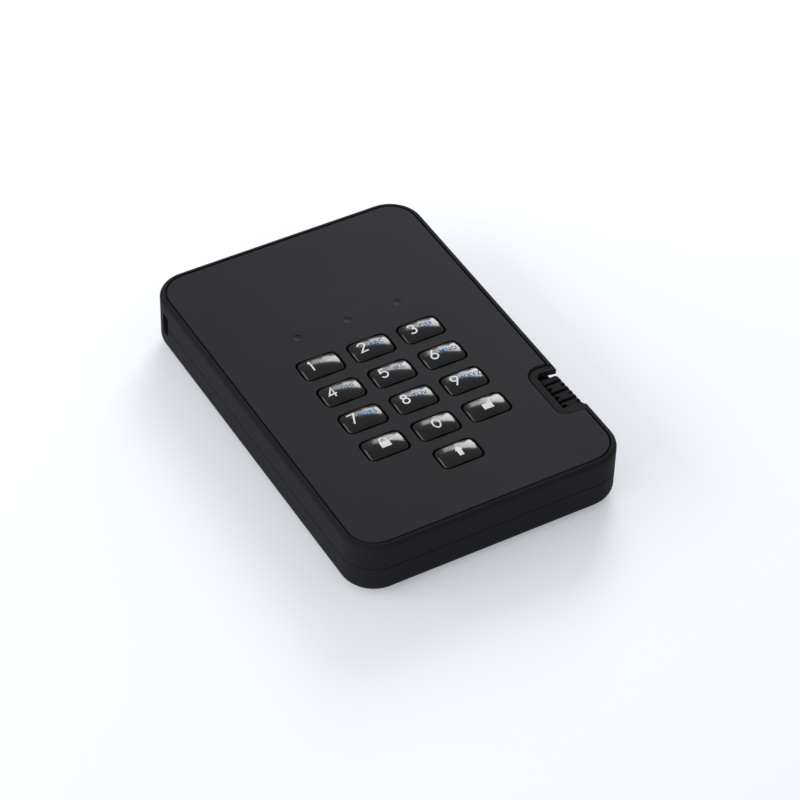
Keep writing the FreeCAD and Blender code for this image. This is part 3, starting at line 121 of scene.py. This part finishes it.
# Print on the keys
# White figures and signs and small blue letters, screen-printed on the key tops, so each
# lies on its key's curve as a film of matt ink. The drawings are in millimetres.
white_ink = grained("white_ink", (0.84, 0.84, 0.85), (0.90, 0.90, 0.91), mottle=0.0008,
                    roughness=0.6, grain=0.0001, depth=0.000001, Specular_IOR_Level=0.1)
blue_ink = grained("blue_ink", (0.002, 0.105, 0.34), (0.005, 0.145, 0.42), mottle=0.0008,
                   roughness=0.7, grain=0.0001, depth=0.000001, Specular_IOR_Level=0.03)
millimetre = 0.001
crown_along = 12.0  # radius of a key's top along the case
crown_across = 28.0  # radius of a key's top across the case
ink_film = 0.015
print_reach = 6  # drawings end this far from their key's middle at most
print_facet = 0.5  # a drawing is cut this finely to follow the curve


def print_on(key, name, drawing, ink, offset):
    """Lay a flat drawing on the crown of a key, at an offset from the key's middle."""
    low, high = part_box(key)
    middle = (Vector(low) + Vector(high)) / 2
    bmesh.ops.translate(drawing, verts=drawing.verts, vec=(*offset, 0))
    cuts = int(print_reach / print_facet)
    for cut in range(-cuts, cuts + 1):
        for across in ((1, 0, 0), (0, 1, 0)):
            geometry = drawing.verts[:] + drawing.edges[:] + drawing.faces[:]
            bmesh.ops.bisect_plane(drawing, geom=geometry, plane_co=Vector(across) * cut * print_facet,
                                   plane_no=across)
    for face in drawing.faces:
        face.normal_update()
        if face.normal.z < 0:
            face.normal_flip()
    for vert in drawing.verts:
        x, y = vert.co.x, vert.co.y
        ring = crown_across - crown_along + math.sqrt(crown_along ** 2 - y ** 2)
        height = math.sqrt(ring ** 2 - x ** 2) - crown_across + ink_film
        vert.co = Vector((middle.x, middle.y, high[2])) + Vector((x, y, height)) * millimetre
    mesh = bpy.data.meshes.new(name)
    drawing.to_mesh(mesh)
    drawing.free()
    mesh.materials.append(ink)
    piece = bpy.data.objects.new(name, mesh)
    scene.collection.objects.link(piece)
    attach(piece, f"{key}_body")


def arc(x, y, across, along, start, end):
    """Points of a round stretch about a middle, between two angles in degrees."""
    parts = 20
    turns = [math.radians(start + (end - start) * part / parts) for part in range(parts + 1)]
    return [(x + across * math.cos(turn), y + along * math.sin(turn)) for turn in turns]


def strokes(width, *lines):
    """A drawing of even pen strokes, mitred where they turn."""
    longest_mitre = 2
    drawing = bmesh.new()
    for line in lines:
        spots = [Vector(spot) for spot in line]
        runs = [(b - a).normalized() for a, b in zip(spots, spots[1:])]
        rail = []
        for spot, before, after in zip(spots, runs[:1] + runs, runs + runs[-1:]):
            along = (before + after).normalized()
            reach = width / 2 / max(along.dot(after), 1 / longest_mitre)
            side = Vector((-along.y, along.x)) * reach
            rail.append([drawing.verts.new((*edge, 0)) for edge in (spot + side, spot - side)])
        for near, far in zip(rail, rail[1:]):
            drawing.faces.new((near[0], near[1], far[1], far[0]))
    return drawing


def plate(drawing, *corners):
    """Add a filled flat shape to a drawing."""
    drawing.faces.new([drawing.verts.new((x, y, 0)) for x, y in corners])


figures = {
    "1": [[(-0.65, 1.2), (-0.1, 1.7), (-0.1, -2.0)]],
    "2": [arc(0, 0.8, 0.98, 0.98, 172, -28) + [(-0.98, -1.75), (1.1, -1.75)]],
    "3": [arc(-0.05, 0.93, 0.85, 0.85, 152, -90), arc(-0.05, -0.83, 1.0, 0.92, 90, -150)],
    "4": [[(0.15, -2.0), (0.15, 1.7), (-1.45, -0.95), (0.8, -0.95)]],
    "5": [[(0.85, 1.75), (-0.55, 1.75), (-0.78, 0.2)] + arc(-0.05, -0.65, 1.05, 1.1, 128, -148)],
    "6": [arc(0, -0.75, 1.0, 1.0, 500, 140) + [(0.5, 1.95)]],
    "7": [[(-1.4, 1.75), (0.65, 1.75), (-0.8, -2.0)]],
    "8": [arc(0, 0.93, 0.72, 0.82, 90, -270), arc(0, -0.83, 0.92, 0.92, 90, -270)],
    "9": [arc(0, 0.75, 1.0, 1.0, 320, -40) + [(-0.5, -1.95)]],
}
figure_pen = 0.48
figure_place = (-2.62, 0.5)
for figure, lines in figures.items():
    print_on(f"key_{figure}", f"figure_{figure}", strokes(figure_pen, *lines), white_ink, figure_place)
sign_pen = 0.45
nought = arc(0, 0, 1.05, 1.6, 90, -270)
print_on("key_0", "figure_0", strokes(sign_pen, nought), white_ink, (0.03, 0))

letter_height = 1.6
capital_share = 0.73  # of the font's size
letter_swell = 0.032
letter_spread = 1.1
letter_rise = 0.45


def lettering(words):
    """Flat letters about their own middle."""
    font = bpy.data.curves.new("letters", "FONT")
    font.body = words
    font.size = letter_height / capital_share
    font.offset = letter_swell
    font.space_character = letter_spread
    writer = bpy.data.objects.new("letters", font)
    mesh = bpy.data.meshes.new_from_object(writer)
    bpy.data.objects.remove(writer)
    drawing = bmesh.new()
    drawing.from_mesh(mesh)
    bpy.data.meshes.remove(mesh)
    wide = [vert.co.x for vert in drawing.verts]
    tall = [vert.co.y for vert in drawing.verts]
    middle = Vector((min(wide) + max(wide), min(tall) + max(tall), 0)) / 2
    bmesh.ops.translate(drawing, verts=drawing.verts, vec=-middle)
    return drawing


# Each key's letters, and how far right of its middle they are printed
letters = {"2": ("ABC", 1.75), "3": ("DEF", 1.85), "4": ("GHI", 1.9), "5": ("JKL", 2.3),
           "6": ("MNO", 2.1), "7": ("PQRS", 1.7), "8": ("TUV", 2.1), "9": ("WXYZ", 2.0)}
for figure, (words, right_of_middle) in letters.items():
    print_on(f"key_{figure}", f"letters_{figure}", lettering(words), blue_ink,
             (right_of_middle, letter_rise))


def padlock(bow):
    """A padlock sign, from the run of its bow."""
    half_width, foot, shoulder = 1.5, -1.55, 0.55
    drawing = strokes(sign_pen, bow)
    plate(drawing, (-half_width, foot), (half_width, foot), (half_width, shoulder),
          (-half_width, shoulder))
    return drawing


shut_bow = [(-0.9, 0.5)] + arc(0, 1.2, 0.9, 0.95, 180, 0) + [(0.9, 0.5)]
open_bow = [(1.25, 0.5)] + arc(2.15, 1.2, 0.9, 0.95, 180, 0) + [(3.05, 0.75)]
print_on("key_lock", "sign_lock", padlock(shut_bow), white_ink, (-0.05, 0.05))
print_on("key_unlock", "sign_unlock", padlock(open_bow), white_ink, (0, -0.1))
arrow = bmesh.new()
arrow_tip, arrow_neck, head_half, stem_half = 1.9, -0.05, 1.15, 0.72
plate(arrow, (-head_half, arrow_neck), (head_half, arrow_neck), (0, arrow_tip))
plate(arrow, (-stem_half, -arrow_tip), (stem_half, -arrow_tip), (stem_half, arrow_neck),
      (-stem_half, arrow_neck))
print_on("key_shift", "sign_arrow", arrow, white_ink, (0.1, 0))

# Status windows
# Three light pipes of smoked clear plastic with dished heads, a hair below the panel's
# face, each over its own lamp on the board.
smoked = grained("smoked", (0.018, 0.018, 0.019), (0.026, 0.026, 0.027), mottle=0.002,
                 roughness=0.6, grain=0.0002, depth=0.000003, Specular_IOR_Level=0.14)
dress(smoked, "light_pipe_left", "light_pipe_middle", "light_pipe_right")
lamp = grained("lamp", (0.55, 0.5, 0.3), (0.7, 0.66, 0.45), mottle=0.0006,
               roughness=0.4, grain=0.0002, depth=0.000004)
dress(lamp, "led_left", "led_middle", "led_right")

# Lead and its boot
# The built-in lead is black rubber-skinned cable. Its boot is a slotted strain relief held
# in the case by a neck and a tab.
boot_rubber = grained("boot_rubber", (0.0105, 0.0105, 0.0115), (0.0140, 0.0140, 0.0150), mottle=0.006,
                      roughness=0.8, grain=0.0003, depth=0.000005, Specular_IOR_Level=0.1)
dress(boot_rubber, "lead_boot", "lead_cable", "lead_wires")

# Plug of the lead
# A type A plug stowed on edge in the side of the case: a moulded grip, a folded steel
# shell, and a tongue with gilt contacts. The header at the lead's inner end is moulded too.
plug_plastic = grained("plug_plastic", (0.008, 0.008, 0.0085), (0.011, 0.011, 0.0115), mottle=0.01,
                       roughness=0.45, grain=0.0003, depth=0.00001)
dress(plug_plastic, "plug_grip", "lead_header")
plug_steel = grained("plug_steel", (0.56, 0.57, 0.58), (0.64, 0.65, 0.66), mottle=0.004,
                     roughness=0.3, grain=0.0006, depth=0.000004, Metallic=1)
dress(plug_steel, "plug_shell")
tongue_plastic = grained("tongue_plastic", (0.015, 0.04, 0.22), (0.02, 0.05, 0.26), mottle=0.003,
                         roughness=0.45, grain=0.0003, depth=0.000006)
dress(tongue_plastic, "plug_tongue")
gilt = grained("gilt", (0.75, 0.52, 0.2), (0.82, 0.6, 0.26), mottle=0.001,
               roughness=0.25, grain=0.0003, depth=0.000002, Metallic=1)
dress(gilt, "plug_contacts")

# Circuit board and what it carries
# Green lacquered board on four screws under the deck, with its chips on the lower side
# and the socket of the drive at its far end.
board_lacquer = grained("board_lacquer", (0.01, 0.06, 0.025), (0.014, 0.085, 0.035), mottle=0.003,
                        roughness=0.35, grain=0.0006, depth=0.00001)
dress(board_lacquer, "main_board")
chip_resin = grained("chip_resin", (0.012, 0.012, 0.013), (0.018, 0.018, 0.019), mottle=0.003,
                     roughness=0.6, grain=0.0002, depth=0.000008)
dress(chip_resin, "bridge_chip", "secure_chip", "firmware_chip", "power_inductor", "sata_socket")
screw_steel = grained("screw_steel", (0.4, 0.4, 0.41), (0.5, 0.5, 0.51), mottle=0.002,
                      roughness=0.35, grain=0.0004, depth=0.000004, Metallic=1)
dress(screw_steel, "board_screws", "crystal")

# Lock plate
# A pressed steel plate that stands between floor and deck behind the slot in the left side,
# where the head of a security cable takes hold.
dress(screw_steel, "lock_plate")

# Drive
# A flat aluminium tray and lid round a board with its own chips and connector. Four
# silicone corner cushions hold it off the case's walls and floor.
drive_metal = grained("drive_metal", (0.42, 0.43, 0.44), (0.5, 0.51, 0.52), mottle=0.012,
                      roughness=0.42, grain=0.0005, depth=0.00001, Metallic=1)
dress(drive_metal, "ssd_tray", "ssd_lid")
dress(board_lacquer, "ssd_board")
dress(chip_resin, "ssd_controller", "ssd_memory_left", "ssd_memory_right", "ssd_connector")
dress(silicone, "damper_front_left", "damper_front_right", "damper_back_left", "damper_back_right")

# Feet
# Four soft black rubber discs, die-cut and let into round seats in the underside, where
# their own adhesive holds them.
foot_rubber = grained("foot_rubber", (0.014, 0.014, 0.014), (0.02, 0.02, 0.02), mottle=0.003,
                      roughness=0.8, grain=0.0004, depth=0.00002)
dress(foot_rubber, "foot_front_left", "foot_front_right", "foot_back_left", "foot_back_right")

# Table
# A white studio table, wide enough to fill the view. A backlight that shows in it and in
# what mirrors it makes it bright, and it keeps the soft shadow.
table_reach = 4
backlight = 0.31
table_mesh = bpy.data.meshes.new("table")
table_mesh.from_pydata([(-table_reach, -table_reach, 0), (table_reach, -table_reach, 0),
                        (table_reach, table_reach, 0), (-table_reach, table_reach, 0)], [], [(0, 1, 2, 3)])
table = bpy.data.objects.new("table", table_mesh)
scene.collection.objects.link(table)
table_white = bpy.data.materials.new("table_white")
table_white.use_nodes = True
nodes = table_white.node_tree.nodes
link = table_white.node_tree.links.new
shader = nodes["Principled BSDF"]
shader.inputs["Base Color"].default_value = (0.87, 0.875, 0.89, 1)
shader.inputs["Roughness"].default_value = 0.9
shader.inputs["Specular IOR Level"].default_value = 0.1
shader.inputs["Emission Color"].default_value = (0.88, 0.92, 1, 1)
ray = nodes.new("ShaderNodeLightPath")
seen = ray.outputs["Is Camera Ray"]
for kind in ("Is Glossy Ray", "Is Transmission Ray"):
    either = nodes.new("ShaderNodeMath")
    either.operation = "ADD"
    link(seen, either.inputs[0])
    link(ray.outputs[kind], either.inputs[1])
    seen = either.outputs["Value"]
strength = nodes.new("ShaderNodeMath")
strength.operation = "MULTIPLY"
strength.inputs[1].default_value = backlight
link(seen, strength.inputs[0])
link(strength.outputs["Value"], shader.inputs["Emission Strength"])
table_mesh.materials.append(table_white)

# Light
# A fan of softboxes behind the drive on the right, brighter towards the right, which the keys
# mirror; a weak box on the left and a dim even room fill the rest.
keypad = Vector((0.0005, -0.0165, 0.0196))


def softbox(name, turns, heights, distance, glow):
    """A softbox facing the keypad, between two bearings from +Y and two heights in degrees."""
    bearing, height = math.radians(sum(turns) / 2), math.radians(sum(heights) / 2)
    towards = Vector((math.sin(bearing) * math.cos(height), math.cos(bearing) * math.cos(height),
                      math.sin(height)))
    box = bpy.data.lights.new(name, "AREA")
    box.shape = "RECTANGLE"
    box.size = 2 * distance * math.cos(height) * math.tan(math.radians(turns[1] - turns[0]) / 2)
    box.size_y = 2 * distance * math.tan(math.radians(heights[1] - heights[0]) / 2)
    box.energy = glow * math.pi * box.size * box.size_y
    stand = bpy.data.objects.new(name, box)
    stand.location = keypad + towards * distance
    stand.rotation_mode = "QUATERNION"
    stand.rotation_quaternion = towards.to_track_quat("Z", "Y")
    scene.collection.objects.link(stand)


softbox("back_box", turns=(16, 25), heights=(24, 39.5), distance=0.9, glow=4.2)
softbox("middle_box", turns=(25, 33), heights=(18, 39.5), distance=0.9, glow=6.2)
softbox("right_box", turns=(33, 52), heights=(11, 39), distance=0.9, glow=8.2)
softbox("left_box", turns=(-125, -45), heights=(5, 40), distance=1.0, glow=2.1)
room = bpy.data.worlds.new("room")
scene.world = room
room.use_nodes = True
room_light = room.node_tree.nodes["Background"]
room_light.inputs["Color"].default_value = (0.95, 0.97, 1, 1)
room_light.inputs["Strength"].default_value = 0.42

# Camera
# From the near left, looking down at about 43 degrees through a long lens, and turned a
# little about its own line of sight.
camera_place = (-0.3214, -0.5477, 0.5980)
azimuth, elevation, roll = math.radians(-30.86), math.radians(43.03), math.radians(1.72)
back = Vector((math.sin(azimuth) * math.cos(elevation), -math.cos(azimuth) * math.cos(elevation),
               math.sin(elevation)))
level = back.cross(Vector((0, 0, 1))).normalized() * -1
upright = back.cross(level)
right = level * math.cos(roll) + upright * math.sin(roll)
up = upright * math.cos(roll) - level * math.sin(roll)
camera_data = bpy.data.cameras.new("camera")
camera_data.sensor_width = 36
camera_data.lens = 139.43
camera = bpy.data.objects.new("camera", camera_data)
turn = Matrix((right, up, back)).transposed().to_4x4()
camera.matrix_world = Matrix.Translation(camera_place) @ turn
scene.collection.objects.link(camera)
scene.camera = camera
scene.view_settings.view_transform = "Standard"
